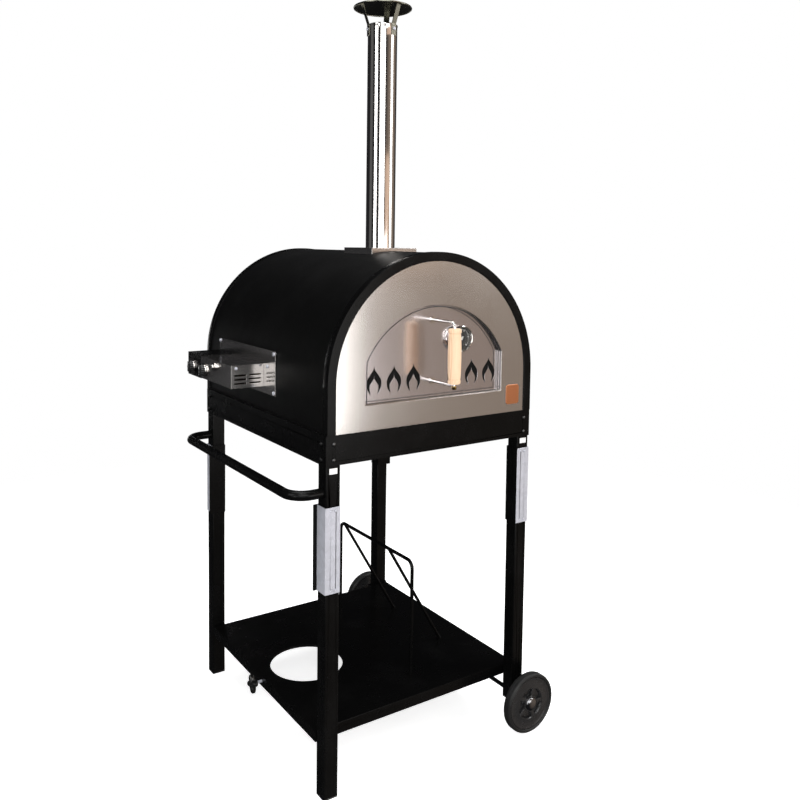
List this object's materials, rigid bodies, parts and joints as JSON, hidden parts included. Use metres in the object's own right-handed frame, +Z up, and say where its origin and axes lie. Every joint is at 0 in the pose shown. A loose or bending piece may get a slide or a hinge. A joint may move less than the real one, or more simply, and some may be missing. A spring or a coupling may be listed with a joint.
{
  "type": "pizza oven",
  "caption": "Domed wood-fired pizza oven with a lift-out arched door, side gas burner and tall flue, on a steel stand with a low shelf, push bar and wheels.",
  "frame": {"origin": "on the floor, below the middle of the whole object's box", "axes": "+X to the right of a cook facing the door, +Y to the back, +Z up"},
  "size_m": [0.834, 0.9355, 2.065],
  "materials": {
    "black_powder_coat": "gloss powder coat",
    "vault_black": "satin heat-resistant powder coat",
    "brushed_stainless": "brushed",
    "polished_stainless": "polished",
    "zinc_bright": "bright galvanised",
    "white_plastic": "satin",
    "black_plastic": "satin",
    "wheel_plastic": "satin",
    "tyre_rubber": "matt",
    "refractory": "matt fired clay",
    "mineral_wool": "matt",
    "copper_plate": "brushed copper tone",
    "brass_fitting": "machined",
    "turned_wood": "clear oil",
    "dial_black": "matt",
    "needle_white": "matt",
    "clear_glass": "clear"
  },
  "bodies": {
    "oven_on_stand": {"apron_frame": "black_powder_coat", "base_tray": "black_powder_coat", "upper_leg_front_left": "black_powder_coat", "upper_leg_front_right": "black_powder_coat", "upper_leg_back_left": "black_powder_coat", "upper_leg_back_right": "black_powder_coat", "lower_leg_front_left": "black_powder_coat", "lower_leg_front_right": "black_powder_coat", "lower_leg_back_left": "black_powder_coat", "lower_leg_back_right": "black_powder_coat", "leg_sleeves": "zinc_bright", "splice_plates": "black_powder_coat", "sleeve_screws": "zinc_bright", "leg_plugs": "white_plastic", "foot_caps": "black_plastic", "frame_bolts": "zinc_bright", "shelf": "black_powder_coat", "bottle_rack": "black_powder_coat", "push_bar": "black_powder_coat", "axle": "zinc_bright", "axle_caps": "zinc_bright", "hearth_stones": "refractory", "vault_shell": "vault_black", "insulation": "mineral_wool", "oven_liner": "brushed_stainless", "throat_collar": "brushed_stainless", "front_panel": "brushed_stainless", "back_panel": "vault_black", "arch_rims": "black_powder_coat", "flue_base": "brushed_stainless", "flue_pipe": "polished_stainless", "rain_cap": "polished_stainless", "cap_straps": "polished_stainless", "cap_bolts": "zinc_bright", "blank_badge": "copper_plate", "burner_plate": "brushed_stainless", "plate_bolts": "zinc_bright", "burner_housing": "brushed_stainless", "control_cover": "black_powder_coat", "knob_bezels": "polished_stainless", "gas_valve": "brass_fitting", "burner_tube": "brushed_stainless"},
    "front_wheel": {"front_tyre": "tyre_rubber", "front_wheel_hub": "wheel_plastic"},
    "back_wheel": {"back_tyre": "tyre_rubber", "back_wheel_hub": "wheel_plastic"},
    "clamp_foot": {"clamp_shoe": "zinc_bright"},
    "clamp_handwheel": {"clamp_screw": "zinc_bright", "clamp_knob": "black_plastic"},
    "gas_knob": {"gas_knob": "black_plastic"},
    "flame_knob": {"flame_knob": "black_plastic"},
    "igniter_button": {"igniter_button": "polished_stainless"},
    "door": {"door_panel": "brushed_stainless", "door_core": "vault_black", "door_handle": "polished_stainless", "handle_grip": "turned_wood", "thermometer_case": "polished_stainless", "thermometer_dial": "dial_black", "thermometer_glass": "clear_glass"},
    "needle": {"thermometer_needle": "needle_white"}
  },
  "joints": [
    {"name": "front_wheel_spin", "type": "hinge", "parent": "oven_on_stand", "child": "front_wheel", "pos_m": [0.333, -0.41625, 0.084], "axis": [0, 1, 0], "continuous": true},
    {"name": "back_wheel_spin", "type": "hinge", "parent": "oven_on_stand", "child": "back_wheel", "pos_m": [0.333, 0.44775, 0.084], "axis": [0, 1, 0], "continuous": true},
    {"name": "door_pull", "type": "slide", "parent": "oven_on_stand", "child": "door", "axis": [0, -1, 0], "range_m": [0, 0.25]},
    {"name": "needle_swing", "type": "hinge", "parent": "door", "child": "needle", "pos_m": [0.101, -0.37405, 1.134], "axis": [0, 1, 0], "range_deg": [0, 270]},
    {"name": "gas_knob_turn", "type": "hinge", "parent": "oven_on_stand", "child": "gas_knob", "pos_m": [-0.399, 0.26575, 1.014], "axis": [-1, 0, 0], "range_deg": [0, 180]},
    {"name": "flame_knob_turn", "type": "hinge", "parent": "oven_on_stand", "child": "flame_knob", "pos_m": [-0.399, 0.17575, 1.014], "axis": [-1, 0, 0], "range_deg": [0, 270]},
    {"name": "igniter_press", "type": "slide", "parent": "oven_on_stand", "child": "igniter_button", "axis": [1, 0, 0], "range_m": [0, 0.004], "stiffness_N_per_m": 600},
    {"name": "clamp_travel", "type": "slide", "parent": "oven_on_stand", "child": "clamp_foot", "axis": [1, 0, 0], "range_m": [0, 0.012]},
    {"name": "clamp_turn", "type": "hinge", "parent": "clamp_foot", "child": "clamp_handwheel", "pos_m": [-0.318, -0.00425, 0.145], "axis": [1, 0, 0], "range_deg": [0, 2880]}
  ],
  "couplings": [
    {"joint": "clamp_travel", "follows": "clamp_turn", "m_per_rad": 0.00023873}
  ]
}
